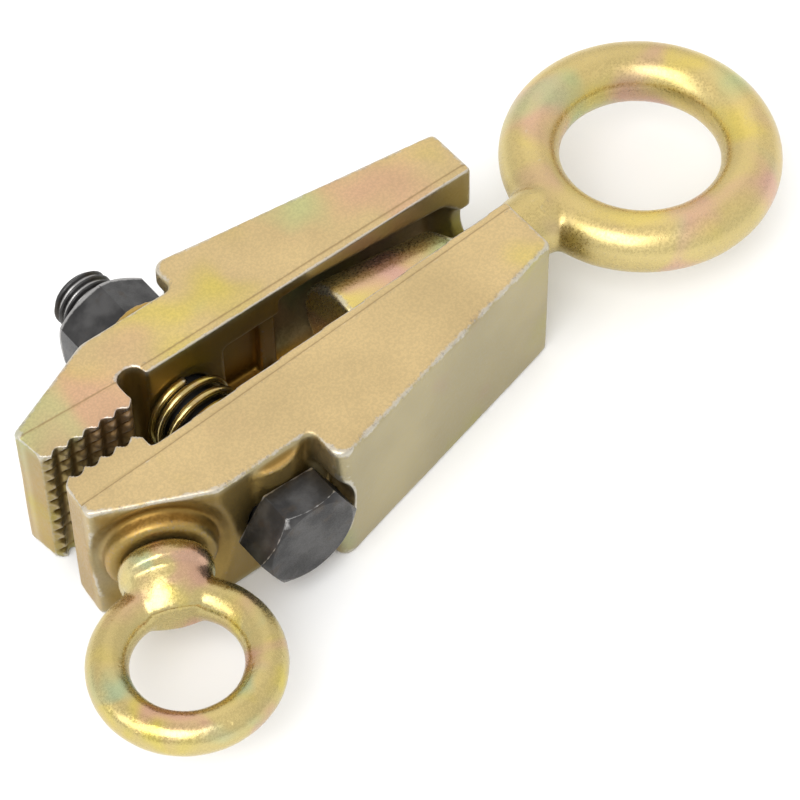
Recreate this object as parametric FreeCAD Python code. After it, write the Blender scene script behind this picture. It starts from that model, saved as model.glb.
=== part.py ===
import FreeCAD, Part
import math
import os

# Two-way frame-pulling clamp, in millimetres.
# +X runs along the pull, from the toothed front of the jaws to the pull ring.
# +Y runs along the clamp bolt, from its head to its nut. +Z is up from the flat the jaws lie on.
# Sizes are given from the bolt's axis (x = 0), the middle of the opening (y = 0) and the jaws' flat
# underside (z = 0). The finished pieces are then moved so that the origin is the centre of the
# whole clamp's underside.

# jaws, both
jaw_height = 52.0
jaw_front = 54.0  # bolt axis to the front ends' outer corners
front_slant = 1.5  # the front ends' inner corners stand back by this much
jaw_rear = 110.0  # bolt axis to the rear ends
tooth_pitch = 5.4
tooth_depth = 2.2
tooth_rise = 0.53  # share of the pitch from a root to the next tip
notch_pitch = 5.0  # grooves that cut the teeth into points
notch_half_width = 1.9
scoop_rear = 11.6  # bolt axis to the rear side of the upright groove behind the far jaw's teeth
step_radius = 1.2  # in the near jaw, which has a plain step there
scoop_depth = 4.8
scoop_radius = 4.0
nose_bend = 20.5  # bolt axis to where the nose starts to taper
shoulder_front = 12.5  # bolt axis to the step behind the bolt's seats
seat_reach = 36.7  # middle of the opening to the crown of each bolt seat
seat_base = 33.6  # middle of the opening to the flat that the seat stands on
seat_radius = 15.0  # crowned seat, upright axis, so that a jaw can rock on it
seat_height = 46.0
seat_land = 16.0  # bolt axis to the end of the solid block that the bolt goes through
channel_depth = 6.5  # recess between that block and the rib
channel_height = 27.0
rib_length = 6.0  # rib between the channel and the cone's pocket
rib_depth = 3.0  # it stands back from the lips by this much
corner_radius = 4.0
edge_radius = 1.5

# each jaw's own distances from the middle of the opening, measured outwards
near_sizes = {
    "teeth": 5,
    "tooth_tip": 2.4,
    "lip_front": 9.0,
    "scoop": False,
    "lip_rear": 3.3,
    "nose": 17.2,
    "shoulder": 47.4,
    "rear": 24.6,
    "pocket_axis": -0.5,
    "spring_seat": 12.0,
}
far_sizes = {
    "teeth": 6,
    "tooth_tip": 5.6,
    "lip_front": 12.7,
    "scoop": True,
    "lip_rear": 12.9,
    "nose": 19.6,
    "shoulder": 44.8,
    "rear": 31.2,
    "pocket_axis": 7.0,
    "spring_seat": 13.3,
}

# clamp bolt and nut, M20
bolt_radius = 10.0
bolt_length = 103.5  # under the head
hex_across_flats = 30.0
hex_chamfer = 0.4  # how far the corner chamfer cuts in past the flats
hex_chamfer_angle = 30.0
head_thickness = 12.5
nut_thickness = 18.0
thread_chamfer = 1.8
head_turn = 4.6  # the head's turn from a flat facing up, in degrees

# spring round the bolt
spring_wire = 2.8
spring_turns = 5.0

# pull ring: cone head, shank and ring in one piece
head_front_radius = 20.2
head_rear_radius = 15.9
head_length = 42.0
head_taper = 6.0  # from the cone's rear to the shank
head_setback = 12.0  # from the end of that taper to the jaws' rear ends
head_nose_room = 5.0  # ahead of the cone when it is pushed fully in
shank_radius = 9.6
ring_bar_radius = 9.75
ring_hole_radius = 25.0
ring_standoff = 58.0  # jaws' rear ends to the ring's centre
ring_neck_radius = 11.3
ring_neck_start = 2.0  # the neck's start and its widest point ahead of the ring's bar, in bar radii
ring_neck_full = 0.7
ring_neck_end = 0.5  # where the neck ends inside the bar, in bar radii
ring_neck_end_radius = 6.0
pull_travel = 6.0  # how far the ring can be pulled out from rest
push_travel = 8.0  # how far it can be pushed in

# side eye: ring, collar and stud in one piece
eye_angle = 25.6  # the eye's axis from -Y towards -X, in degrees
eye_seat_x = -36.0  # where that axis leaves the near jaw's nose
eye_seat_y = 25.1
eye_standoff = 38.6  # from the nose to the eye's centre
eye_bar_radius = 6.45
eye_hole_radius = 16.0
collar_radius = 14.2
collar_front = 11.2  # from the nose to the collar's outer face
collar_chamfer = 1.5
collar_root_radius = 12.4  # at its jaw side
collar_swell = 5.5  # from the nose to where it reaches its full radius
neck_reach = 23.4
neck_root_radius = 13.0
neck_waist = 17.5  # from the nose to the middle of the neck
neck_waist_width = 12.6  # half widths across and up, there and at the end inside the ring's hole
neck_waist_height = 9.4
neck_tip_width = 10.6
neck_tip_height = 5.6
stud_radius = 7.0
stud_depth = 14.0
boss_radius = 16.8
boss_reach = 3.3
boss_root = 10.0  # how deep the boss is carried into the nose
boss_rounding = 1.6
boss_recess = 2.8  # dished hollow round the boss
recess_floor_radius = 18.2
recess_rim_radius = 23.2

# clearances
seat_gap = 0.2
bolt_hole_gap = 1.0
thread_gap = 0.05
hex_gap = 1.0
spring_gap = 1.2
spring_pocket_gap = 1.2
pocket_gap = 0.8
end_gap = 1.5
collar_gap = 0.25

middle = jaw_height / 2
tooth_start = front_slant - jaw_front
hex_corner_radius = hex_across_flats / math.sqrt(3)
pull_axis = -near_sizes["pocket_axis"]
head_rear = jaw_rear - head_setback - head_taper
head_front = head_rear - head_length
head_slope = (head_front_radius - head_rear_radius) / head_length
pocket_front = head_front - push_travel - head_nose_room
channel_end = pocket_front - rib_length
ring_centre_x = jaw_rear + ring_standoff
ring_radius = ring_hole_radius + ring_bar_radius
spring_radius = bolt_radius + spring_gap + spring_wire / 2
spring_pocket_radius = spring_radius + spring_wire / 2 + spring_pocket_gap
eye_radius = eye_hole_radius + eye_bar_radius
eye_direction = 270.0 - eye_angle
eye_axis = FreeCAD.Vector(math.cos(math.radians(eye_direction)), math.sin(math.radians(eye_direction)), 0)
eye_seat = FreeCAD.Vector(eye_seat_x, -eye_seat_y, middle)
eye_centre = eye_seat + eye_axis * eye_standoff
far_reach = 2 * jaw_rear  # longer than anything it cuts through

low_x = min(-jaw_front, eye_centre.x - eye_radius - eye_bar_radius)
high_x = ring_centre_x + ring_radius + ring_bar_radius
low_y = eye_centre.y - eye_radius - eye_bar_radius
high_y = bolt_length - seat_reach - seat_gap
origin = FreeCAD.Vector((low_x + high_x) / 2, (low_y + high_y) / 2, 0)


def prism(points, bottom, height):
    """An upright prism on a flat outline of (x, y) points."""
    corners = [FreeCAD.Vector(x, y, bottom) for x, y in points]
    face = Part.Face(Part.makePolygon(corners + corners[:1]))
    return face.extrude(FreeCAD.Vector(0, 0, height))


def turned(points):
    """A solid turned about the X axis from (x, radius) points that start and end on the axis."""
    corners = [FreeCAD.Vector(x, radius, 0) for x, radius in points]
    face = Part.Face(Part.makePolygon(corners + corners[:1]))
    return face.revolve(FreeCAD.Vector(0, 0, 0), FreeCAD.Vector(1, 0, 0), 360)


def placed(shape, degrees, point):
    """The shape turned about the upright axis, then moved to the point."""
    copy = shape.copy()
    copy.rotate(FreeCAD.Vector(0, 0, 0), FreeCAD.Vector(0, 0, 1), degrees)
    copy.translate(point)
    return copy


def cross_rod(radius, start, end):
    """A round rod along Y on the bolt's axis."""
    base = FreeCAD.Vector(0, start, middle)
    return Part.makeCylinder(radius, end - start, base, FreeCAD.Vector(0, 1, 0))


def rounded(shape, corners, radius):
    """The shape with its upright edges at the given (x, y) corners rounded."""
    edges = []
    for edge in shape.Edges:
        box = edge.BoundBox
        if box.ZLength < 1:
            continue
        for x, y in corners:
            if math.hypot(box.Center.x - x, box.Center.y - y) < 0.01:
                edges.append(edge)
    return shape.makeFillet(radius, edges)


def tooth_end(sizes):
    """Where the teeth stop and the groove behind them starts, along X."""
    return tooth_start + tooth_pitch * sizes["teeth"]


def jaw_outline(sizes):
    """The jaw seen from above, outwards along +Y, without its teeth's cross grooves."""
    points = []
    root = sizes["tooth_tip"] + tooth_depth
    for tooth in range(sizes["teeth"]):
        start = tooth_start + tooth * tooth_pitch
        points.append((start, root))
        points.append((start + tooth_rise * tooth_pitch, sizes["tooth_tip"]))
    points.append((tooth_end(sizes), root))
    if sizes["scoop"]:
        points.append((tooth_end(sizes), sizes["lip_front"] + scoop_depth))
        points.append((-scoop_rear, sizes["lip_front"] + scoop_depth))
        points.append((-scoop_rear, sizes["lip_front"]))
    else:
        points.append((tooth_end(sizes), sizes["lip_front"]))
    points.append((jaw_rear, sizes["lip_rear"]))
    points.append((jaw_rear, sizes["rear"]))
    points.append((shoulder_front, sizes["shoulder"]))
    points.append((shoulder_front, seat_base))
    points.append((-nose_bend, seat_base))
    points.append((-jaw_front, sizes["nose"]))
    return points


def blank(sizes):
    """The forged block, with its outer corners and rims rounded."""
    body = prism(jaw_outline(sizes), 0, jaw_height)
    body = rounded(body, [(shoulder_front, sizes["shoulder"])], corner_radius)
    body = rounded(body, [(shoulder_front, seat_base)], corner_radius / 2)
    body = rounded(body, [(-nose_bend, seat_base)], 2 * corner_radius)
    body = rounded(body, [(jaw_rear, sizes["rear"]), (-jaw_front, sizes["nose"])], corner_radius / 2)
    if sizes["scoop"]:
        scoop_bottom = sizes["lip_front"] + scoop_depth
        body = rounded(body, [(tooth_end(sizes), scoop_bottom), (-scoop_rear, scoop_bottom)], scoop_radius)
    else:
        body = rounded(body, [(tooth_end(sizes), sizes["lip_front"])], step_radius)
    rims = []
    for edge in body.Edges:
        box = edge.BoundBox
        on_rim = box.ZLength < 0.01 and (box.ZMin < 0.01 or box.ZMax > jaw_height - 0.01)
        on_scoop = box.XMin > tooth_end(sizes) - 1 and box.XMax < 1 - scoop_rear
        if on_rim and box.YMin > sizes["lip_front"] + 1 and box.Center.x > -jaw_front and not on_scoop:
            rims.append(edge)
    return body.makeFillet(edge_radius, rims)


def tooth_grooves(sizes):
    """V grooves along X that cut the saw teeth into points."""
    before = tooth_start - 1
    count = int(jaw_height / notch_pitch)
    first = (jaw_height - (count - 1) * notch_pitch) / 2
    grooves = []
    for number in range(count):
        height = first + number * notch_pitch
        corners = [
            FreeCAD.Vector(before, sizes["tooth_tip"], height - notch_half_width),
            FreeCAD.Vector(before, sizes["tooth_tip"] + tooth_depth, height),
            FreeCAD.Vector(before, sizes["tooth_tip"], height + notch_half_width),
        ]
        face = Part.Face(Part.makePolygon(corners + corners[:1]))
        grooves.append(face.extrude(FreeCAD.Vector(tooth_end(sizes) - before, 0, 0)))
    return Part.makeCompound(grooves)


def bolt_seat():
    """The crowned pad that the bolt's head or nut bears on."""
    drop = seat_reach - seat_base
    half = math.sqrt(seat_radius**2 - (seat_radius - drop) ** 2)
    bottom = (jaw_height - seat_height) / 2
    base = FreeCAD.Vector(0, seat_reach - seat_radius, bottom)
    crown = Part.makeCylinder(seat_radius, seat_height, base)
    root = seat_base - drop
    block = Part.makeBox(2 * half, 2 * drop, seat_height, FreeCAD.Vector(-half, root, bottom))
    return crown.common(block)


def cone_pocket(sizes):
    """The space for the pull ring's cone head and shank."""
    shift = head_rear + pull_travel + end_gap
    start_radius = head_front_radius + pocket_gap
    end_radius = head_rear_radius + pocket_gap - head_slope * (pull_travel + end_gap)
    bore = shank_radius + pocket_gap
    taper_end = shift + head_taper
    points = [
        (pocket_front, 0),
        (pocket_front, start_radius),
        (head_front, start_radius),
        (shift, end_radius),
        (taper_end, bore),
        (jaw_rear + 1, bore),
        (jaw_rear + 1, 0),
    ]
    return placed(turned(points), 0, FreeCAD.Vector(0, sizes["pocket_axis"], middle))


def inner_cuts(sizes):
    """Everything hollowed out of a jaw from its inner side, and the bolt's hole."""
    seat = sizes["spring_seat"]
    channel_base = FreeCAD.Vector(seat_land, -far_reach, middle - channel_height / 2)
    channel_reach = far_reach + sizes["lip_front"] + channel_depth
    rib_base = FreeCAD.Vector(channel_end - 1, -far_reach, middle - channel_height / 2)
    rib_reach = far_reach + sizes["lip_front"] + rib_depth
    return [
        Part.makeBox(channel_end - seat_land, channel_reach, channel_height, channel_base),
        Part.makeBox(pocket_front - channel_end + 2, rib_reach, channel_height, rib_base),
        cross_rod(spring_pocket_radius, -far_reach, seat),
        cross_rod(bolt_radius + bolt_hole_gap, -far_reach, far_reach),
        cone_pocket(sizes),
        tooth_grooves(sizes),
    ]


def head_relief(sizes):
    """Round clearance cut into the shoulder so that the bolt's head can turn."""
    return cross_rod(hex_corner_radius + hex_gap, seat_base, sizes["shoulder"] + 1)


def nut_relief(sizes):
    """Flat-sided clearance cut into the shoulder: it stops the nut turning."""
    half = hex_corner_radius + hex_gap
    reach = hex_across_flats / 2 + hex_gap
    base = FreeCAD.Vector(0, seat_base, middle - half)
    return Part.makeBox(reach, sizes["shoulder"] + 1 - seat_base, 2 * half, base)


def jaw(sizes, relief):
    body = blank(sizes).cut(relief).fuse(bolt_seat())
    return body.cut(inner_cuts(sizes))


def eye_boss(jaw_body):
    """Round boss for the side eye, with the dished hollow round it, on the nose's outer face."""
    turn = 90.0 + eye_angle
    seat = FreeCAD.Vector(eye_seat_x, eye_seat_y, middle)
    boss = turned(
        [
            (-boss_root, 0),
            (-boss_root, boss_radius),
            (boss_reach - boss_rounding, boss_radius),
            (boss_reach, boss_radius - boss_rounding),
            (boss_reach, 0),
        ]
    )
    widening = (recess_rim_radius - recess_floor_radius) / boss_recess
    outside = recess_rim_radius + boss_reach * widening
    dish = turned([(-boss_recess, 0), (-boss_recess, recess_floor_radius), (boss_reach, outside), (boss_reach, 0)])
    radius = stud_radius + thread_gap
    bottom = -stud_depth - 1
    mouth = boss_reach + 1
    hole = turned([(bottom, 0), (bottom, radius), (mouth, radius), (mouth, 0)])
    body = jaw_body.cut(placed(dish, turn, seat)).fuse(placed(boss, turn, seat))
    return body.cut(placed(hole, turn, seat))


def near_jaw():
    body = eye_boss(jaw(near_sizes, head_relief(near_sizes)))
    return body.mirror(FreeCAD.Vector(0, 0, 0), FreeCAD.Vector(0, 1, 0))


def far_jaw():
    return jaw(far_sizes, nut_relief(far_sizes))


def hexagon(thickness, degrees, both_ends):
    """A hexagon block on the Y axis from y = 0, its corners chamfered at 30 degrees."""
    points = []
    for corner in range(6):
        angle = math.radians(60 * corner)
        points.append((hex_corner_radius * math.cos(angle), hex_corner_radius * math.sin(angle)))
    block = prism(points, 0, thickness)
    flat = hex_across_flats / 2 - hex_chamfer
    wide = hex_corner_radius + 1
    slope = (wide - flat) * math.tan(math.radians(hex_chamfer_angle))
    lower = [(0, flat), (slope, wide)] if both_ends else [(0, wide)]
    limit = turned([(0, 0)] + lower + [(thickness - slope, wide), (thickness, flat), (thickness, 0)])
    limit.rotate(FreeCAD.Vector(0, 0, 0), FreeCAD.Vector(0, 1, 0), -90)
    block = block.common(limit)
    block.rotate(FreeCAD.Vector(0, 0, 0), FreeCAD.Vector(1, 0, 0), -90)
    block.rotate(FreeCAD.Vector(0, 0, 0), FreeCAD.Vector(0, 1, 0), degrees)
    return block


def clamp_bolt():
    """Hexagon bolt from its head on the near jaw's seat to its free end."""
    under_head = -seat_reach - seat_gap
    head = hexagon(head_thickness, head_turn, False).mirror(FreeCAD.Vector(0, 0, 0), FreeCAD.Vector(0, 1, 0))
    head.translate(FreeCAD.Vector(0, under_head, middle))
    end = bolt_length
    shank = turned(
        [
            (-1, 0),
            (-1, bolt_radius),
            (end - thread_chamfer, bolt_radius),
            (end, bolt_radius - thread_chamfer),
            (end, 0),
        ]
    )
    return head.fuse(placed(shank, 90, FreeCAD.Vector(0, under_head, middle)))


def clamp_nut():
    block = hexagon(nut_thickness, 30, True)
    block.translate(FreeCAD.Vector(0, seat_reach + seat_gap, middle))
    return block.cut(cross_rod(bolt_radius + thread_gap, 0, far_reach))


def jaw_spring():
    """Round-wire compression spring between the two seats."""
    start = spring_wire / 2 + seat_gap - near_sizes["spring_seat"]
    end = far_sizes["spring_seat"] - spring_wire / 2 - seat_gap
    length = end - start
    path = Part.makeHelix(length / spring_turns, length, spring_radius)
    ring = Part.makeCircle(spring_wire / 2, FreeCAD.Vector(spring_radius, 0, 0), FreeCAD.Vector(0, 1, 0))
    coil = Part.Wire(path).makePipeShell([Part.Wire(ring)], True, True)
    coil.rotate(FreeCAD.Vector(0, 0, 0), FreeCAD.Vector(1, 0, 0), -90)
    coil.translate(FreeCAD.Vector(0, start, middle))
    return coil


def pull_ring():
    ring_start = ring_centre_x - ring_radius
    neck_start = ring_start - ring_neck_start * ring_bar_radius
    neck_full = ring_start - ring_neck_full * ring_bar_radius
    neck_end = ring_start + ring_neck_end * ring_bar_radius
    body = turned(
        [
            (head_front, 0),
            (head_front, head_front_radius - edge_radius),
            (head_front + edge_radius, head_front_radius),
            (head_rear, head_rear_radius),
            (head_rear + head_taper, shank_radius),
            (neck_start, shank_radius),
            (neck_full, ring_neck_radius),
            (ring_start, shank_radius),
            (neck_end, ring_neck_end_radius),
            (neck_end, 0),
        ]
    )
    centre = FreeCAD.Vector(ring_centre_x, pull_axis, middle)
    ring = Part.makeTorus(ring_radius, ring_bar_radius, centre, FreeCAD.Vector(0, 0, 1))
    return placed(body, 0, FreeCAD.Vector(0, pull_axis, middle)).fuse(ring)


def oval(reach, width, height):
    """An upright oval outline across the X axis."""
    curve = Part.Ellipse(FreeCAD.Vector(0, 0, 0), max(width, height), min(width, height))
    wire = Part.Wire(curve.toShape())
    wire.rotate(FreeCAD.Vector(0, 0, 0), FreeCAD.Vector(0, 1, 0), 90)
    wire.rotate(FreeCAD.Vector(0, 0, 0), FreeCAD.Vector(1, 0, 0), 90)
    wire.translate(FreeCAD.Vector(reach, 0, 0))
    return wire


def side_eye_bolt():
    collar_start = boss_reach + collar_gap
    stem = turned(
        [
            (-stud_depth, 0),
            (-stud_depth, stud_radius - collar_chamfer),
            (collar_chamfer - stud_depth, stud_radius),
            (collar_start, stud_radius),
            (collar_start, collar_root_radius),
            (collar_swell, collar_radius),
            (collar_front - collar_chamfer, collar_radius),
            (collar_front, neck_root_radius),
            (collar_front, 0),
        ]
    )
    root = oval(collar_front - 1, neck_root_radius, neck_root_radius - collar_chamfer)
    waist = oval(neck_waist, neck_waist_width, neck_waist_height)
    tip = oval(neck_reach, neck_tip_width, neck_tip_height)
    neck = Part.makeLoft([root, waist, tip], True)
    ring = Part.makeTorus(eye_radius, eye_bar_radius, FreeCAD.Vector(eye_standoff, 0, 0), FreeCAD.Vector(0, 0, 1))
    return placed(stem.fuse(neck).fuse(ring), eye_direction, eye_seat)


pieces = {
    "near_jaw": near_jaw,
    "far_jaw": far_jaw,
    "clamp_bolt": clamp_bolt,
    "clamp_nut": clamp_nut,
    "jaw_spring": jaw_spring,
    "pull_ring": pull_ring,
    "side_eye_bolt": side_eye_bolt,
}

os.makedirs("parts", exist_ok=True)
for name, make in pieces.items():
    shape = make()
    shape.translate(origin * -1)
    if shape.ShapeType == "Compound" and len(shape.Solids) == 1:
        shape = shape.Solids[0]
    print(name, shape.ShapeType, shape.isValid(), len(shape.Solids), round(shape.Volume))
    shape.exportStep("parts/" + name + ".step")
print("origin", [round(v, 3) for v in origin])
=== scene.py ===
import math

import bmesh
import bpy
from mathutils import Matrix, Vector, noise


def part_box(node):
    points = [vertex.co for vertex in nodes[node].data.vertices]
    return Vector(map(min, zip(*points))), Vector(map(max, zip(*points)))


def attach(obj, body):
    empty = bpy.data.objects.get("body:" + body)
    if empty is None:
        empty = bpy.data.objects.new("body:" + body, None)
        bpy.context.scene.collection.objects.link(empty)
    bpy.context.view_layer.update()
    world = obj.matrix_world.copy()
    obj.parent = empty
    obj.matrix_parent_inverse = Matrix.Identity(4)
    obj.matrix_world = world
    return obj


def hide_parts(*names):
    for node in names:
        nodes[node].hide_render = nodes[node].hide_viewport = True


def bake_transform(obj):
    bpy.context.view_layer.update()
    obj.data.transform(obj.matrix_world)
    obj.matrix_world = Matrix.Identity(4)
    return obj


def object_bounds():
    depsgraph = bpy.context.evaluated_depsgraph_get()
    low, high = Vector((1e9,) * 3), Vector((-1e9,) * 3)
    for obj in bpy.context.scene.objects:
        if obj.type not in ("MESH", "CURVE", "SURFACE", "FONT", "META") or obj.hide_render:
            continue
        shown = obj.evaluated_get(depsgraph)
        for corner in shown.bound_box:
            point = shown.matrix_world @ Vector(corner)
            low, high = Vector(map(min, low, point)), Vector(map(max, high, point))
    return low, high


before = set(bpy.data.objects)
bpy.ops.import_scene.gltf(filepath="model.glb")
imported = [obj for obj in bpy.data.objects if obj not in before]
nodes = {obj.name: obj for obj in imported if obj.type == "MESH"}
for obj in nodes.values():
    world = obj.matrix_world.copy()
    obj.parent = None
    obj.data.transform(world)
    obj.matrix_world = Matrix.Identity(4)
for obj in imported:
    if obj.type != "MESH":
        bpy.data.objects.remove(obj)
cadLow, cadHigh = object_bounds()
mm = 0.001

# places shared by several pieces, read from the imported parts
nutLow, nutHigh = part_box("clamp_nut")
boltLow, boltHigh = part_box("clamp_bolt")
boltX = (nutLow.x + nutHigh.x) / 2
boltZ = (nutLow.z + nutHigh.z) / 2
boltPoint = Vector((boltX, 0, boltZ))
alongBolt = Vector((0, 1, 0))


# helpers for meshes

def partMesh(node):
    bm = bmesh.new()
    bm.from_mesh(nodes[node].data)
    bmesh.ops.remove_doubles(bm, verts=bm.verts, dist=0.002 * mm)
    return bm


def addObject(bm, name):
    mesh = bpy.data.meshes.new(name)
    bm.to_mesh(mesh)
    bm.free()
    piece = bpy.data.objects.new(name, mesh)
    bpy.context.scene.collection.objects.link(piece)
    return piece


def applyModifiers(piece):
    bpy.context.view_layer.update()
    graph = bpy.context.evaluated_depsgraph_get()
    mesh = bpy.data.meshes.new_from_object(piece.evaluated_get(graph))
    piece.modifiers.clear()
    piece.data = mesh


def remeshed(bm, name, voxel):
    piece = addObject(bm, name)
    remesh = piece.modifiers.new("skin", "REMESH")
    remesh.mode = "VOXEL"
    remesh.voxel_size = voxel
    remesh.adaptivity = 0
    applyModifiers(piece)
    return piece


def relax(bm, verts, times):
    for _ in range(times):
        bmesh.ops.smooth_vert(
            bm, verts=verts, factor=0.5, use_axis_x=True, use_axis_y=True, use_axis_z=True,
        )


def smoothstep(low, high, value):
    t = min(max((value - low) / (high - low), 0), 1)
    return t * t * (3 - 2 * t)


def pathHeight(points, x):
    for (x0, y0), (x1, y1) in zip(points, points[1:]):
        if x <= x1 or (x1, y1) == points[-1]:
            return y0 + (y1 - y0) * (x - x0) / (x1 - x0)


def writeAttribute(mesh, name, values):
    layer = mesh.attributes.new(name, "FLOAT", "POINT")
    layer.data.foreach_set("value", values)


def upwardShare(normal):
    # 1 on flats that face up and half that on flats that face the front; the rest of the share gets the
    # painted side shade
    return max(smoothstep(0.55, 0.95, normal.z), 0.5 * smoothstep(0.8, 0.97, -normal.x))


def markShape(piece, spread, reach):
    # edgeWear is 1 on sharp outside edges and hollow is 1 in inside corners, which get painted shade
    bm = bmesh.new()
    bm.from_mesh(piece.data)
    bm.normal_update()
    start = [(v.co.copy(), v.normal.copy()) for v in bm.verts]
    relax(bm, bm.verts, spread)
    bulge = [(co - v.co).dot(normal) / reach for (co, normal), v in zip(start, bm.verts)]
    bm.free()
    writeAttribute(piece.data, "edgeWear", [min(max(b, 0), 1) for b in bulge])
    writeAttribute(piece.data, "hollowShade", [min(max(-b, 0), 1) for b in bulge])
    writeAttribute(piece.data, "upward", [upwardShare(normal) for _, normal in start])


def dent(piece, waves, keepOff=None):
    # pushes the skin in by soft uneven waves; waves are (length, depth, seed)
    mesh = piece.data
    normals = [v.normal.copy() for v in mesh.vertices]
    for vertex, normal in zip(mesh.vertices, normals):
        depth = 0
        for length, deep, seed in waves:
            depth += deep * (0.5 - 0.5 * noise.noise(vertex.co / length + Vector((seed, 0, 0))))
        if keepOff:
            depth *= keepOff(vertex.co)
        vertex.co -= normal * depth
    mesh.update()


def finishPiece(piece, material, node, body):
    piece.data.materials.clear()
    piece.data.materials.append(material)
    piece.data.shade_smooth()
    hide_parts(node)
    if body:
        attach(piece, body)
    print("made", piece.name, len(piece.data.polygons), "faces")


# helpers for materials, and the effects that several finishes share

def newGroup(name, inputs, outputs):
    group = bpy.data.node_groups.new(name, "ShaderNodeTree")
    for label, kind, value in inputs:
        socket = group.interface.new_socket(name=label, in_out="INPUT", socket_type="NodeSocket" + kind)
        if value is not None:
            socket.default_value = value
    for label, kind in outputs:
        group.interface.new_socket(name=label, in_out="OUTPUT", socket_type="NodeSocket" + kind)
    return group, group.nodes.new("NodeGroupInput"), group.nodes.new("NodeGroupOutput")


def addNode(tree, kind, settings=None, **sockets):
    node = tree.nodes.new("ShaderNode" + kind)
    for key, value in (settings or {}).items():
        setattr(node, key, value)
    for key, value in sockets.items():
        socket = node.inputs[key.replace("_", " ")]
        if isinstance(value, bpy.types.NodeSocket):
            tree.links.new(value, socket)
        else:
            socket.default_value = value
    return node


def math2(tree, operation, a, b):
    node = tree.nodes.new("ShaderNodeMath")
    node.operation = operation
    for socket, value in zip(node.inputs, (a, b)):
        if isinstance(value, bpy.types.NodeSocket):
            tree.links.new(value, socket)
        else:
            socket.default_value = value
    return node.outputs[0]


def noiseValue(tree, vector, scale, detail=3.0, offset=None, roughness=0.5):
    if offset is not None:
        vector = addNode(tree, "Mapping", Vector=vector, Location=offset).outputs[0]
    made = addNode(tree, "TexNoise", Vector=vector, Detail=detail, Roughness=roughness)
    if isinstance(scale, bpy.types.NodeSocket):
        tree.links.new(scale, made.inputs["Scale"])
    else:
        made.inputs["Scale"].default_value = scale
    return made.outputs["Fac"]


def ramp(tree, value, low, high, toLow=0.0, toHigh=1.0):
    node = addNode(tree, "MapRange", {"interpolation_type": "SMOOTHSTEP"}, Value=value)
    for index, number in ((1, low), (2, high), (3, toLow), (4, toHigh)):
        if isinstance(number, bpy.types.NodeSocket):
            tree.links.new(number, node.inputs[index])
        else:
            node.inputs[index].default_value = number
    return node.outputs[0]


def mixColour(tree, factor, a, b, blend="MIX"):
    node = tree.nodes.new("ShaderNodeMix")
    node.data_type = "RGBA"
    node.blend_type = blend
    for socket, value in ((node.inputs[0], factor), (node.inputs[6], a), (node.inputs[7], b)):
        if isinstance(value, bpy.types.NodeSocket):
            tree.links.new(value, socket)
        else:
            socket.default_value = value
    return node.outputs[2]


patinaValues = {
    "warpScale": 45.0,
    "warpReach": 20 * mm,
    # noise level at which a patch starts, for a share of 0, and how far a full share lowers it
    "startLevel": 0.78,
    "shareDrop": 0.5,
    "fade": 0.22,
    "detail": 1.5,
}


def makePatina(values):
    # the plating's drifting tints: a base colour with yellow, rose and green patches
    group, inside, out = newGroup(
        "zincPatina",
        [
            ("Vector", "Vector", None),
            ("Patch Scale", "Float", 60.0),
            ("Base", "Color", (0.7, 0.5, 0.25, 1)),
            ("Yellow", "Color", (0.7, 0.5, 0.1, 1)),
            ("Rose", "Color", (0.7, 0.4, 0.3, 1)),
            ("Green", "Color", (0.5, 0.5, 0.2, 1)),
            ("Yellow Share", "Float", 0.5),
            ("Rose Share", "Float", 0.4),
            ("Green Share", "Float", 0.3),
        ],
        [("Color", "Color")],
    )
    place = inside.outputs["Vector"]
    warp = addNode(group, "TexNoise", Vector=place, Scale=values["warpScale"], Detail=1.0)
    bent = addNode(group, "VectorMath", {"operation": "MULTIPLY_ADD"}, Vector=warp.outputs["Color"])
    bent.inputs[1].default_value = (values["warpReach"],) * 3
    group.links.new(place, bent.inputs[2])
    colour = inside.outputs["Base"]
    for number, name in enumerate(("Yellow", "Rose", "Green")):
        offset = (3.1 * number + 1, 2.7 * number, 0.4)
        field = noiseValue(group, bent.outputs[0], inside.outputs["Patch Scale"], values["detail"], offset)
        lowered = math2(group, "MULTIPLY", inside.outputs[name + " Share"], values["shareDrop"])
        edge = math2(group, "SUBTRACT", values["startLevel"], lowered)
        mask = ramp(group, field, edge, math2(group, "ADD", edge, values["fade"]))
        colour = mixColour(group, mask, colour, inside.outputs[name])
    group.links.new(colour, out.inputs["Color"])
    return group


grainValues = {
    "fineHeight": 0.35,
    "pitEdge": (0.05, 0.32),
    # where the pits gather
    "cloudScale": 160.0,
    "cloudLevel": (0.48, 0.62),
    "rollScale": 230.0,
    "fleckLevel": (0.35, 0.68),
}


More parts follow.
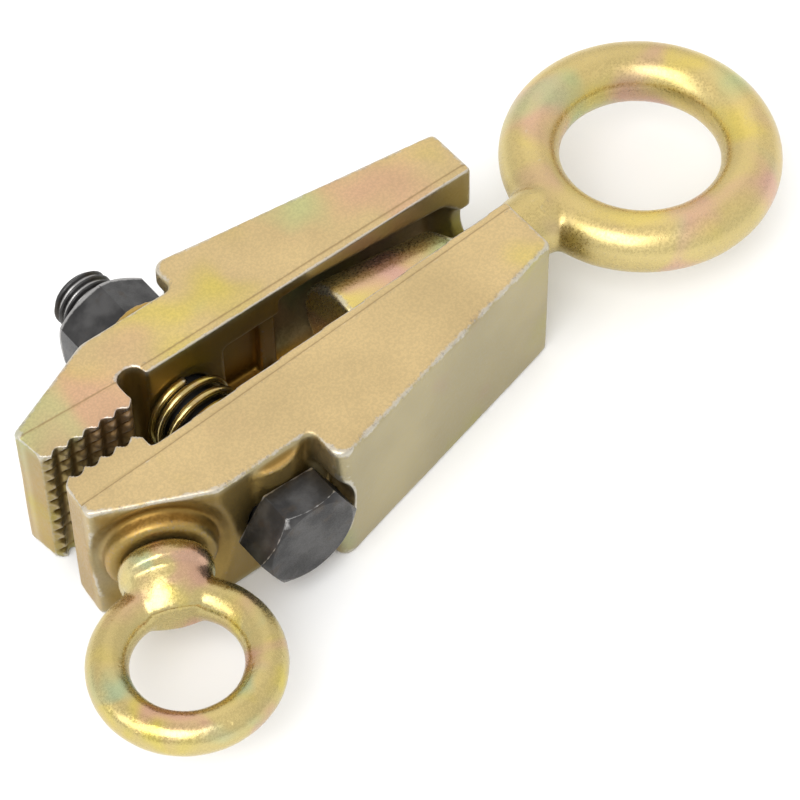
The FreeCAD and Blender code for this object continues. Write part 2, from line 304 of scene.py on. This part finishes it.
def makeGrain(values):
    # a forging's skin under plating: fine grain, round pits and shallow rolls
    group, inside, out = newGroup(
        "forgedGrain",
        [
            ("Vector", "Vector", None),
            ("Grain Scale", "Float", 1500.0),
            ("Pit Scale", "Float", 420.0),
            ("Pits", "Float", 0.5),
            ("Rolls", "Float", 0.5),
        ],
        [("Height", "Float"), ("Fleck", "Float")],
    )
    place = inside.outputs["Vector"]
    fine = noiseValue(group, place, inside.outputs["Grain Scale"], 4.0, None, 0.6)
    cells = addNode(group, "TexVoronoi", {"feature": "SMOOTH_F1"}, Vector=place)
    group.links.new(inside.outputs["Pit Scale"], cells.inputs["Scale"])
    where = ramp(group, noiseValue(group, place, values["cloudScale"], 2.0, (5, 1, 2)), *values["cloudLevel"])
    hole = ramp(group, cells.outputs["Distance"], *values["pitEdge"], 1.0, 0.0)
    pit = math2(group, "MULTIPLY", hole, where)
    rolls = noiseValue(group, place, values["rollScale"], 2.0, (2, 7, 1))
    raised = math2(group, "MULTIPLY", fine, values["fineHeight"])
    height = math2(group, "SUBTRACT", raised, math2(group, "MULTIPLY", pit, inside.outputs["Pits"]))
    height = math2(group, "ADD", height, math2(group, "MULTIPLY", rolls, inside.outputs["Rolls"]))
    group.links.new(height, out.inputs["Height"])
    group.links.new(ramp(group, fine, *values["fleckLevel"]), out.inputs["Fleck"])
    return group


wearValues = {
    "patchScale": 260.0,
    "patchReach": 1.4,
    "fade": 0.3,
    "speckScale": 900.0,
    "speckLevel": (0.56, 0.64),
    "speckEdge": (0.1, 0.5),
}


def makeWear(values):
    # rubbed edges, broken up so that the rub comes and goes
    group, inside, out = newGroup(
        "edgeRub",
        [
            ("Vector", "Vector", None),
            ("Edge", "Float", 0.0),
            ("Start", "Float", 0.3),
            ("Patchiness", "Float", 0.6),
        ],
        [("Rub", "Float"), ("Speck", "Float")],
    )
    place = inside.outputs["Vector"]
    patches = noiseValue(group, place, values["patchScale"], 5.0, (1, 4, 9), 0.7)
    lowered = math2(group, "MULTIPLY", math2(group, "SUBTRACT", patches, 0.5), inside.outputs["Patchiness"])
    reach = math2(group, "MULTIPLY", lowered, values["patchReach"])
    level = math2(group, "ADD", inside.outputs["Edge"], reach)
    start = inside.outputs["Start"]
    rub = ramp(group, level, start, math2(group, "ADD", start, values["fade"]))
    fine = noiseValue(group, place, values["speckScale"], 3.0, (8, 2, 5), 0.7)
    nearEdge = ramp(group, inside.outputs["Edge"], *values["speckEdge"])
    speck = math2(group, "MULTIPLY", ramp(group, fine, *values["speckLevel"]), nearEdge)
    group.links.new(rub, out.inputs["Rub"])
    group.links.new(speck, out.inputs["Speck"])
    return group


patinaGroup = makePatina(patinaValues)
grainGroup = makeGrain(grainValues)
wearGroup = makeWear(wearValues)


def placeGroup(tree, group, sockets):
    node = tree.nodes.new("ShaderNodeGroup")
    node.node_tree = group
    for key, value in sockets.items():
        if isinstance(value, bpy.types.NodeSocket):
            tree.links.new(value, node.inputs[key])
        else:
            node.inputs[key].default_value = value
    return node


def shapeValue(tree, name):
    return addNode(tree, "Attribute", {"attribute_name": name}).outputs["Fac"]


def newMaterial(name):
    material = bpy.data.materials.new(name)
    material.use_nodes = True
    tree = material.node_tree
    tree.nodes.clear()
    shader = tree.nodes.new("ShaderNodeBsdfPrincipled")
    output = tree.nodes.new("ShaderNodeOutputMaterial")
    tree.links.new(shader.outputs[0], output.inputs["Surface"])
    place = tree.nodes.new("ShaderNodeTexCoord").outputs["Object"]
    return material, tree, shader, place


def placeGrain(tree, place, look):
    grain = placeGroup(tree, grainGroup, {
        "Vector": place,
        "Grain Scale": look["grainScale"],
        "Pit Scale": look["pitScale"],
        "Pits": look["pits"],
        "Rolls": look["rolls"],
    })
    rub = placeGroup(tree, wearGroup, {
        "Vector": place,
        "Edge": shapeValue(tree, "edgeWear"),
        "Start": look["rubStart"],
        "Patchiness": look["rubPatchiness"],
    })
    return grain, rub


def addBump(tree, shader, look, grain):
    height = grain.outputs["Height"]
    bump = addNode(tree, "Bump", Strength=look["bump"], Distance=look["bumpDistance"], Height=height)
    tree.links.new(bump.outputs[0], shader.inputs["Normal"])


def zincMaterial(name, look):
    material, tree, shader, place = newMaterial(name)
    patina = placeGroup(tree, patinaGroup, {
        "Vector": place,
        "Patch Scale": look["patchScale"],
        "Base": look["base"],
        "Yellow": look["yellow"],
        "Rose": look["rose"],
        "Green": look["green"],
        "Yellow Share": look["yellowShare"],
        "Rose Share": look["roseShare"],
        "Green Share": look["greenShare"],
    })
    grain, rub = placeGrain(tree, place, look)
    upward = shapeValue(tree, "upward")
    # painted shade: faces that don't face up take a darker, cooler tint
    shadedSides = mixColour(tree, 1.0, patina.outputs[0], look["sideShadeTint"], "MULTIPLY")
    colour = mixColour(tree, upward, shadedSides, patina.outputs[0])
    # slow drift in depth of colour, and the grain's own light and dark
    drift = ramp(tree, noiseValue(tree, place, 28.0, 2.0, (4, 4, 4)), 0.3, 0.7, 0.9, 1.06)
    fleck = ramp(tree, grain.outputs["Fleck"], 0.0, 1.0, 1 - look["fleck"], 1 + look["fleck"])
    shade = addNode(tree, "CombineColor")
    both = math2(tree, "MULTIPLY", drift, fleck)
    for channel in range(3):
        tree.links.new(both, shade.inputs[channel])
    colour = mixColour(tree, 1.0, colour, shade.outputs[0], "MULTIPLY")
    # painted shade in inside corners
    hollowShade = ramp(tree, shapeValue(tree, "hollowShade"), 0.1, 0.9, 0.0, look["hollowShadeDepth"])
    colour = mixColour(tree, hollowShade, colour, look["hollowShadeColour"])
    # warm painted shade in the channel between the jaws, on the teeth and on the nose
    colour = mixColour(tree, shapeValue(tree, "innerShade"), colour, look["innerShadeTint"], "MULTIPLY")
    # painted shade: a thin dark line along the crease on the top faces
    if "creaseShadeColour" in look:
        gap = math2(tree, "ABSOLUTE", shapeValue(tree, "creaseGap"), 0.0)
        ragged = math2(tree, "MULTIPLY", noiseValue(tree, place, 700.0, 3.0), look["creaseShadeWidth"])
        line = math2(tree, "MULTIPLY", ramp(tree, gap, 0.0, ragged, look["creaseShadeDepth"], 0.0), upward)
        colour = mixColour(tree, line, colour, look["creaseShadeColour"])
    outside = ramp(tree, shapeValue(tree, "innerShade"), 0.0, 0.9, look["rubDepth"], 0.0)
    rubbed = math2(tree, "MULTIPLY", rub.outputs["Rub"], outside)
    colour = mixColour(tree, rubbed, colour, look["rubColour"])
    speck = math2(tree, "MULTIPLY", rub.outputs["Speck"], look["speckDepth"])
    colour = mixColour(tree, speck, colour, look["speckColour"])
    tree.links.new(colour, shader.inputs["Base Color"])
    polish = math2(tree, "MULTIPLY", rub.outputs["Rub"], -0.5)
    rough = math2(tree, "ADD", grain.outputs["Fleck"], polish)
    tree.links.new(ramp(tree, rough, 0.0, 1.0, *look["roughness"]), shader.inputs["Roughness"])
    shader.inputs["Metallic"].default_value = look["metallic"]
    addBump(tree, shader, look, grain)
    return material


# linear colours; scales are per metre
zincLook = {
    "base": (0.59, 0.44, 0.22, 1),
    "yellow": (0.62, 0.50, 0.13, 1),
    "rose": (0.60, 0.38, 0.23, 1),
    "green": (0.50, 0.49, 0.23, 1),
    "patchScale": 30.0,
    "yellowShare": 0.35,
    "roseShare": 0.3,
    "greenShare": 0.2,
    # painted shade for faces that don't face up
    "sideShadeTint": (0.66, 0.76, 0.88, 1),
    "grainScale": 1300.0,
    "pitScale": 420.0,
    "pits": 0.25,
    "rolls": 0.5,
    "fleck": 0.08,
    "rubStart": 0.42,
    "rubPatchiness": 1.0,
    "rubColour": (0.62, 0.60, 0.56, 1),
    "rubDepth": 0.55,
    "speckColour": (0.25, 0.22, 0.2, 1),
    "speckDepth": 0.45,
    # colour and strength of the painted shade in inside corners
    "hollowShadeColour": (0.22, 0.14, 0.03, 1),
    "hollowShadeDepth": 0.75,
    # tint of the warm painted shade between the jaws
    "innerShadeTint": (0.72, 0.55, 0.22, 1),
    "roughness": (0.34, 0.52),
    "metallic": 0.9,
    "bump": 0.5,
    "bumpDistance": 0.25 * mm,
}
jawLook = dict(
    zincLook,
    # colour, width and strength of the painted shade line along the crease
    creaseShadeColour=(0.30, 0.20, 0.09, 1),
    creaseShadeWidth=0.9 * mm,
    creaseShadeDepth=0.7,
)
farJawLook = dict(jawLook, yellowShare=0.6, roseShare=0.55, greenShare=0.45, patchScale=27.0)
ringLook = dict(
    zincLook,
    base=(0.62, 0.48, 0.20, 1),
    yellow=(0.70, 0.55, 0.13, 1),
    rose=(0.62, 0.37, 0.28, 1),
    green=(0.42, 0.49, 0.25, 1),
    patchScale=34.0,
    yellowShare=0.6,
    roseShare=0.55,
    greenShare=0.42,
    # lighter painted side shade on the rings, eye and spring
    sideShadeTint=(0.92, 0.96, 1.0, 1),
    roughness=(0.26, 0.42),
    pits=0.12,
    rolls=0.35,
    fleck=0.05,
    metallic=0.95,
    bump=0.35,
)
eyeLook = dict(
    ringLook,
    base=(0.57, 0.45, 0.19, 1),
    yellow=(0.63, 0.50, 0.12, 1),
    rose=(0.60, 0.36, 0.24, 1),
    green=(0.42, 0.47, 0.27, 1),
    patchScale=65.0,
    yellowShare=0.5,
    roseShare=0.55,
    greenShare=0.45,
    roughness=(0.2, 0.34),
    pits=0.5,
    rolls=0.9,
    bump=0.55,
)
springLook = dict(
    ringLook,
    base=(0.52, 0.40, 0.16, 1),
    yellow=(0.62, 0.48, 0.12, 1),
    rose=(0.55, 0.36, 0.16, 1),
    green=(0.40, 0.42, 0.16, 1),
    patchScale=120.0,
    roughness=(0.12, 0.22),
    rolls=0.1,
    pits=0.05,
    bump=0.15,
)
steelLook = {
    "base": (0.038, 0.037, 0.037, 1),
    "pale": (0.088, 0.086, 0.085, 1),
    "rust": (0.07, 0.055, 0.042, 1),
    "rubColour": (0.42, 0.41, 0.40, 1),
    "rubStart": 0.5,
    "rubPatchiness": 0.5,
    "grainScale": 2200.0,
    "pitScale": 600.0,
    "pits": 0.15,
    "rolls": 0.3,
    "rubDepth": 0.8,
    "rustDepth": 0.6,
    "metallic": 0.85,
    "roughness": (0.28, 0.48),
    "bump": 0.35,
    "bumpDistance": 0.12 * mm,
}


def blackMaterial(name, look):
    material, tree, shader, place = newMaterial(name)
    grain, rub = placeGrain(tree, place, look)
    cloud = ramp(tree, noiseValue(tree, place, 110.0, 4.0, (2, 2, 2)), 0.35, 0.7)
    colour = mixColour(tree, cloud, look["base"], look["pale"])
    stain = noiseValue(tree, place, 190.0, 4.0, (7, 3, 1))
    colour = mixColour(tree, ramp(tree, stain, 0.56, 0.72, 0.0, look["rustDepth"]), colour, look["rust"])
    rubbed = math2(tree, "MULTIPLY", rub.outputs["Rub"], look["rubDepth"])
    colour = mixColour(tree, rubbed, colour, look["rubColour"])
    tree.links.new(colour, shader.inputs["Base Color"])
    rough = ramp(tree, grain.outputs["Fleck"], 0.0, 1.0, *look["roughness"])
    tree.links.new(rough, shader.inputs["Roughness"])
    shader.inputs["Metallic"].default_value = look["metallic"]
    addBump(tree, shader, look, grain)
    return material


jawZinc = zincMaterial("jawZinc", jawLook)
farJawZinc = zincMaterial("farJawZinc", farJawLook)
ringZinc = zincMaterial("ringZinc", ringLook)
eyeZinc = zincMaterial("eyeZinc", eyeLook)
springZinc = zincMaterial("springZinc", springLook)
blackOxide = blackMaterial("blackOxide", steelLook)
print("finishes ready")


nearJawValues = {
    "voxel": 0.68 * mm,
    "smoothing": 4,
    "noseSmoothing": 12,
    "waves": [(26 * mm, 0.22 * mm, 3), (9 * mm, 0.12 * mm, 11)],
    # crease left by the trimmed edge, as points along X and across Y from the bolt's axis
    "crease": [(-60 * mm, -13.4 * mm), (-24.8 * mm, -12.2 * mm), (112 * mm, -5.8 * mm)],
    "creaseDrop": 0.35 * mm,
    "creaseBlend": 0.5 * mm,
    # how level a face has to be, and how far from mid height, to count as the top or the underside
    "levelSlope": (0.6, 0.9),
    "levelRise": (24 * mm, 25.2 * mm),
    "teethEnd": -24 * mm,
    "teethHalfWidth": 9.5 * mm,
    # the nose's outer face, from the bolt's axis, the middle of the opening and mid height
    "noseStart": -14 * mm,
    "noseInside": 14 * mm,
    "noseHalfHeight": 24.5 * mm,
    "wearSpread": 10,
    "wearReach": 0.28 * mm,
}
farJawValues = dict(
    nearJawValues,
    crease=[(-60 * mm, 17.5 * mm), (-20 * mm, 15.5 * mm), (112 * mm, 15.5 * mm)],
    creaseDrop=0.3 * mm,
    waves=[(24 * mm, 0.25 * mm, 5), (8 * mm, 0.14 * mm, 17)],
    teethEnd=-18 * mm,
)
# the creases are measured from the middle of the opening, which is 66.6 mm in from the bolt's free end
openingY = boltHigh.y - 66.6 * mm


def awayFromBolt(co):
    # the seats, holes and teeth keep their shape
    across = math.hypot(co.x - boltX, co.z - boltZ)
    return smoothstep(14 * mm, 26 * mm, across)


# where a jaw gets a warm painted shade and less rub; pairs are where the share starts to fade in and where
# it's full
innerShadeValues = {
    "awayFromRims": (25.6 * mm, 22 * mm),
    "pastTeeth": 2 * mm,
    "channelAcross": (22 * mm, 20 * mm),
    "channelRear": (109 * mm, 106 * mm),
    "coneReach": (40 * mm, 60 * mm),
    "coneDrop": 0.7,
    "noseReach": (14 * mm, 10 * mm),
    "noseAcross": (15 * mm, 19 * mm),
    "noseTip": (-53.5 * mm, -50 * mm),
    "noseTipShare": 0.55,
    "noseRise": 0.3,
    "teethAcross": (16 * mm, 13 * mm),
    "teethShare": 0.6,
}


def innerShadeShare(co, values, teethEnd):
    # warm painted shade, deepest in the channel between the jaws, less over the cone, on the teeth and on the
    # nose's outside
    reach = co.x - boltX
    across = abs(co.y - openingY)
    below = smoothstep(*values["awayFromRims"], abs(co.z - boltZ))
    channelStart = teethEnd + values["pastTeeth"]
    channel = smoothstep(teethEnd, channelStart, reach)
    channel *= smoothstep(*values["channelAcross"], across) * smoothstep(*values["channelRear"], reach)
    channel *= 1 - values["coneDrop"] * smoothstep(*values["coneReach"], reach)
    nose = smoothstep(*values["noseReach"], reach) * smoothstep(*values["noseAcross"], across)
    nose *= values["noseTipShare"] + values["noseRise"] * smoothstep(*values["noseTip"], reach)
    teeth = smoothstep(channelStart, teethEnd, reach) * smoothstep(*values["teethAcross"], across)
    return below * max(channel, nose, values["teethShare"] * teeth)


def forgedJaw(node, name, values):
    piece = remeshed(partMesh(node), name, values["voxel"])
    side = 1 if node == "far_jaw" else -1
    bm = bmesh.new()
    bm.from_mesh(piece.data)

    def onTeeth(co):
        return co.x - boltX < values["teethEnd"] and abs(co.y - openingY) < values["teethHalfWidth"]

    def onNose(co):
        outer = co.x - boltX < values["noseStart"] and abs(co.y - openingY) > values["noseInside"]
        return outer and abs(co.z - boltZ) < values["noseHalfHeight"]

    relax(bm, [v for v in bm.verts if not onTeeth(v.co)], values["smoothing"])
    relax(bm, [v for v in bm.verts if onNose(v.co)], values["noseSmoothing"])
    bm.to_mesh(piece.data)
    bm.free()
    dent(piece, values["waves"], awayFromBolt)
    gaps = []
    levels = [abs(vertex.normal.z) for vertex in piece.data.vertices]
    blend = values["creaseBlend"]
    for vertex, level in zip(piece.data.vertices, levels):
        line = openingY + pathHeight(values["crease"], vertex.co.x - boltX)
        gap = (vertex.co.y - line) * side
        gaps.append(gap)
        rise = vertex.co.z - boltZ
        flat = smoothstep(*values["levelSlope"], level) * smoothstep(*values["levelRise"], abs(rise))
        vertex.co.z -= math.copysign(values["creaseDrop"], rise) * flat * smoothstep(blend, -blend, gap)
    writeAttribute(piece.data, "creaseGap", gaps)
    innerShade = [innerShadeShare(v.co, innerShadeValues, values["teethEnd"]) for v in piece.data.vertices]
    writeAttribute(piece.data, "innerShade", innerShade)
    markShape(piece, values["wearSpread"], values["wearReach"])
    return piece


nearJaw = forgedJaw("near_jaw", "nearJawForging", nearJawValues)
finishPiece(nearJaw, jawZinc, "near_jaw", "near_jaw")
farJaw = forgedJaw("far_jaw", "farJawForging", farJawValues)
finishPiece(farJaw, farJawZinc, "far_jaw", "far_jaw")


pullRingValues = {
    "voxel": 0.75 * mm,
    "smoothing": 10,
    "waves": [(22 * mm, 0.25 * mm, 7), (7 * mm, 0.1 * mm, 2)],
    "wearSpread": 12,
    "wearReach": 0.3 * mm,
}
sideEyeValues = dict(
    pullRingValues,
    voxel=0.5 * mm,
    smoothing=16,
    waves=[(14 * mm, 0.2 * mm, 9), (4 * mm, 0.12 * mm, 4)],
)


def forgedRing(node, name, values):
    piece = remeshed(partMesh(node), name, values["voxel"])
    bm = bmesh.new()
    bm.from_mesh(piece.data)
    relax(bm, bm.verts, values["smoothing"])
    bm.to_mesh(piece.data)
    bm.free()
    dent(piece, values["waves"])
    markShape(piece, values["wearSpread"], values["wearReach"])
    return piece


pullRing = forgedRing("pull_ring", "pullRingForging", pullRingValues)
finishPiece(pullRing, ringZinc, "pull_ring", "pull_ring")
sideEye = forgedRing("side_eye_bolt", "sideEyeForging", sideEyeValues)
finishPiece(sideEye, eyeZinc, "side_eye_bolt", "side_eye")


boltValues = {
    "pitch": 2.5 * mm,
    "threadLength": 50 * mm,
    "crestRadius": 9.95 * mm,
    "rootRadius": 8.5 * mm,
    "stepsPerTurn": 48,
    "tipRadius": 8.3 * mm,
    # the thread starts this far inside the cut shank and stops this far short of its end
    "threadLap": 0.2 * mm,
    "endGap": 0.02 * mm,
    "edgeBevel": 0.35 * mm,
    "longestEdge": 2.5 * mm,
    "wearSpread": 3,
    "wearReach": 0.12 * mm,
}
nutValues = {
    "edgeBevel": 0.35 * mm,
    "longestEdge": 2.5 * mm,
    "wearSpread": 3,
    "wearReach": 0.12 * mm,
}


def fillOpenings(bm):
    edges = [e for e in bm.edges if e.is_boundary]
    bmesh.ops.holes_fill(bm, edges=edges, sides=0)


def cutOff(bm, point, normal):
    # cuts the mesh at a plane and drops what the normal points to
    geometry = bm.verts[:] + bm.edges[:] + bm.faces[:]
    bmesh.ops.bisect_plane(bm, geom=geometry, dist=1e-7, plane_co=point, plane_no=normal, clear_outer=True)


def threadShell(values, start, end):
    # one pitch of the profile, swept as a right-hand screw and cut square at both ends
    bm = bmesh.new()
    pitch, crest, root = values["pitch"], values["crestRadius"], values["rootRadius"]
    flank = (root + crest) / 2
    profile = [
        (0.0, root), (0.2, root), (0.4, flank), (0.56, crest), (0.69, crest), (0.85, flank), (1.0, root),
    ]
    first = start - 2 * pitch
    verts = [bm.verts.new((boltX + radius, first + share * pitch, boltZ)) for share, radius in profile]
    edges = [bm.edges.new(pair) for pair in zip(verts, verts[1:])]
    turns = math.ceil((end - start) / pitch) + 4
    steps = values["stepsPerTurn"]
    bmesh.ops.spin(
        bm, geom=verts + edges, cent=boltPoint, axis=alongBolt, dvec=alongBolt * (pitch / steps),
        angle=2 * math.pi * turns, steps=steps * turns, use_merge=False, use_duplicate=False,
    )
    bmesh.ops.remove_doubles(bm, verts=bm.verts, dist=0.01 * mm)
    cutOff(bm, (0, start, 0), -alongBolt)
    cutOff(bm, (0, end, 0), alongBolt)
    fillOpenings(bm)
    for vertex in bm.verts:
        across = Vector((vertex.co.x - boltX, 0, vertex.co.z - boltZ))
        limit = values["tipRadius"] + (end - vertex.co.y)
        if across.length > limit:
            across *= limit / across.length
            vertex.co = Vector((boltX + across.x, vertex.co.y, boltZ + across.z))
    bmesh.ops.recalc_face_normals(bm, faces=bm.faces)
    return bm


def dissolveFlats(bm):
    bmesh.ops.dissolve_limit(bm, angle_limit=math.radians(1), verts=bm.verts, edges=bm.edges)


def softenEdges(piece, width):
    bevel = piece.modifiers.new("edges", "BEVEL")
    bevel.limit_method = "ANGLE"
    bevel.angle_limit = math.radians(25)
    bevel.width = width
    bevel.segments = 3
    applyModifiers(piece)


def joined(name, pieces):
    bm = bmesh.new()
    for piece in pieces:
        bm.from_mesh(piece.data)
        bpy.data.objects.remove(piece)
    return addObject(bm, name)


def subdivide(piece, longest):
    # cuts long faces up so that rubbed edges can be told from flats
    bm = bmesh.new()
    bm.from_mesh(piece.data)
    bmesh.ops.triangulate(bm, faces=bm.faces)
    for _ in range(6):
        edges = [e for e in bm.edges if e.calc_length() > longest]
        if not edges:
            break
        bmesh.ops.subdivide_edges(bm, edges=edges, cuts=1)
        bmesh.ops.triangulate(bm, faces=bm.faces)
    bm.to_mesh(piece.data)
    bm.free()


def clampBolt(values):
    threadStart = boltHigh.y - values["threadLength"]
    shank = partMesh("clamp_bolt")
    cutOff(shank, (0, threadStart + values["threadLap"], 0), alongBolt)
    fillOpenings(shank)
    dissolveFlats(shank)
    shankPiece = addObject(shank, "boltShank")
    softenEdges(shankPiece, values["edgeBevel"])
    subdivide(shankPiece, values["longestEdge"])
    thread = addObject(threadShell(values, threadStart, boltHigh.y - values["endGap"]), "boltThread")
    return joined("clampBoltSteel", [shankPiece, thread])


def clampNut(values):
    bm = partMesh("clamp_nut")
    dissolveFlats(bm)
    piece = addObject(bm, "clampNutSteel")
    softenEdges(piece, values["edgeBevel"])
    subdivide(piece, values["longestEdge"])
    return piece


bolt = clampBolt(boltValues)
markShape(bolt, boltValues["wearSpread"], boltValues["wearReach"])
finishPiece(bolt, blackOxide, "clamp_bolt", "clamp_bolt")
nut = clampNut(nutValues)
markShape(nut, nutValues["wearSpread"], nutValues["wearReach"])
finishPiece(nut, blackOxide, "clamp_nut", "clamp_nut")


springValues = {
    "wire": 2.8 * mm,
    "closedPitch": 2.95 * mm,
    "closedTurns": 0.9,
    "openTurns": 3.4,
    "stepsPerTurn": 56,
    "wireSteps": 20,
    "startAngle": 200,
    "wearSpread": 3,
    "wearReach": 0.3 * mm,
}


def jawSpring(values):
    low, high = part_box("jaw_spring")
    wire = values["wire"] / 2
    coilRadius = (high.x - low.x) / 2 - wire
    length = high.y - low.y - 2 * wire
    closed = values["closedPitch"] * values["closedTurns"]
    openPitch = (length - 2 * closed) / values["openTurns"]
    bm = bmesh.new()
    turned = Matrix.Rotation(math.radians(values["startAngle"]), 4, "Y")
    place = Matrix.Translation((boltX, low.y + wire, boltZ)) @ turned @ Matrix.Translation((coilRadius, 0, 0))
    steps = values["wireSteps"]
    made = bmesh.ops.create_circle(bm, cap_ends=False, segments=steps, radius=wire, matrix=place)
    geometry = made["verts"] + list({e for v in made["verts"] for e in v.link_edges})
    endCoil = (values["closedTurns"], values["closedPitch"])
    for turns, pitch in (endCoil, (values["openTurns"], openPitch), endCoil):
        steps = round(values["stepsPerTurn"] * turns)
        spun = bmesh.ops.spin(
            bm, geom=geometry, cent=boltPoint, axis=alongBolt, dvec=alongBolt * (pitch * turns / steps),
            angle=2 * math.pi * turns, steps=steps, use_merge=False, use_duplicate=False,
        )
        geometry = spun["geom_last"]
    fillOpenings(bm)
    bmesh.ops.recalc_face_normals(bm, faces=bm.faces)
    return addObject(bm, "jawSpringWire")


spring = jawSpring(springValues)
markShape(spring, springValues["wearSpread"], springValues["wearReach"])
finishPiece(spring, springZinc, "jaw_spring", None)
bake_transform(spring)


stageValues = {
    "floorColour": (0.98, 0.98, 0.98, 1),
    "floorSize": 4.0,
    "worldColour": (1.0, 1.0, 1.0, 1),
    "worldStrength": 1.0,
}
lightValues = {
    # place, size in metres, power in watts, colour
    "backSoftbox": ((0.75, 0.95, 1.35), 1.3, 1.2, (1.0, 0.985, 0.96)),
    "keySoftbox": ((-1.3, -0.7, 2.0), 1.6, 30.0, (1.0, 1.0, 1.0)),
    "frontFill": ((-1.4, 0.1, 0.8), 0.7, 3.5, (1.0, 0.99, 0.97)),
}
cameraValues = {
    # turn and tilt are from level and +Y, in degrees
    "place": (-0.374591, -0.475378, 0.824895),
    "turn": 38.01,
    "tilt": 53.82,
    "roll": -0.91,
    "lens": 150.908,
}


def makeFloor(values):
    bm = bmesh.new()
    bmesh.ops.create_grid(bm, x_segments=2, y_segments=2, size=values["floorSize"] / 2)
    floor = addObject(bm, "paleFloor")
    material, tree, shader, place = newMaterial("palePaper")
    cloud = ramp(tree, noiseValue(tree, place, 6.0, 2.0), 0.3, 0.7, 0.99, 1.0)
    shade = addNode(tree, "CombineColor")
    for channel in range(3):
        tree.links.new(cloud, shade.inputs[channel])
    colour = mixColour(tree, 1.0, values["floorColour"], shade.outputs[0], "MULTIPLY")
    tree.links.new(colour, shader.inputs["Base Color"])
    shader.inputs["Roughness"].default_value = 0.7
    floor.data.materials.append(material)


def makeLights(values, stage):
    centre = (cadLow + cadHigh) / 2
    for name, (place, size, power, colour) in values.items():
        light = bpy.data.lights.new(name, "AREA")
        light.shape = "SQUARE"
        light.size = size
        light.energy = power
        light.color = colour
        lamp = bpy.data.objects.new(name, light)
        lamp.location = place
        lamp.rotation_euler = (centre - Vector(place)).to_track_quat("-Z", "Y").to_euler()
        bpy.context.scene.collection.objects.link(lamp)
    world = bpy.data.worlds.new("studio")
    world.use_nodes = True
    background = world.node_tree.nodes["Background"]
    background.inputs["Color"].default_value = stage["worldColour"]
    background.inputs["Strength"].default_value = stage["worldStrength"]
    bpy.context.scene.world = world


def makeCamera(values):
    turn, tilt, roll = (math.radians(values[key]) for key in ("turn", "tilt", "roll"))
    right = Vector((math.cos(turn), -math.sin(turn), 0))
    forward = Vector((math.sin(turn) * math.cos(tilt), math.cos(turn) * math.cos(tilt), -math.sin(tilt)))
    up = right.cross(forward)
    axes = Matrix((
        right * math.cos(roll) + up * math.sin(roll),
        up * math.cos(roll) - right * math.sin(roll),
        -forward,
    )).transposed()
    data = bpy.data.cameras.new("studioCamera")
    data.lens = values["lens"]
    data.sensor_width = 36
    camera = bpy.data.objects.new("studioCamera", data)
    camera.matrix_world = Matrix.Translation(values["place"]) @ axes.to_4x4()
    bpy.context.scene.collection.objects.link(camera)
    bpy.context.scene.camera = camera


makeFloor(stageValues)
makeLights(lightValues, stageValues)
makeCamera(cameraValues)
bpy.context.scene.view_settings.view_transform = "Standard"
print("stage ready")
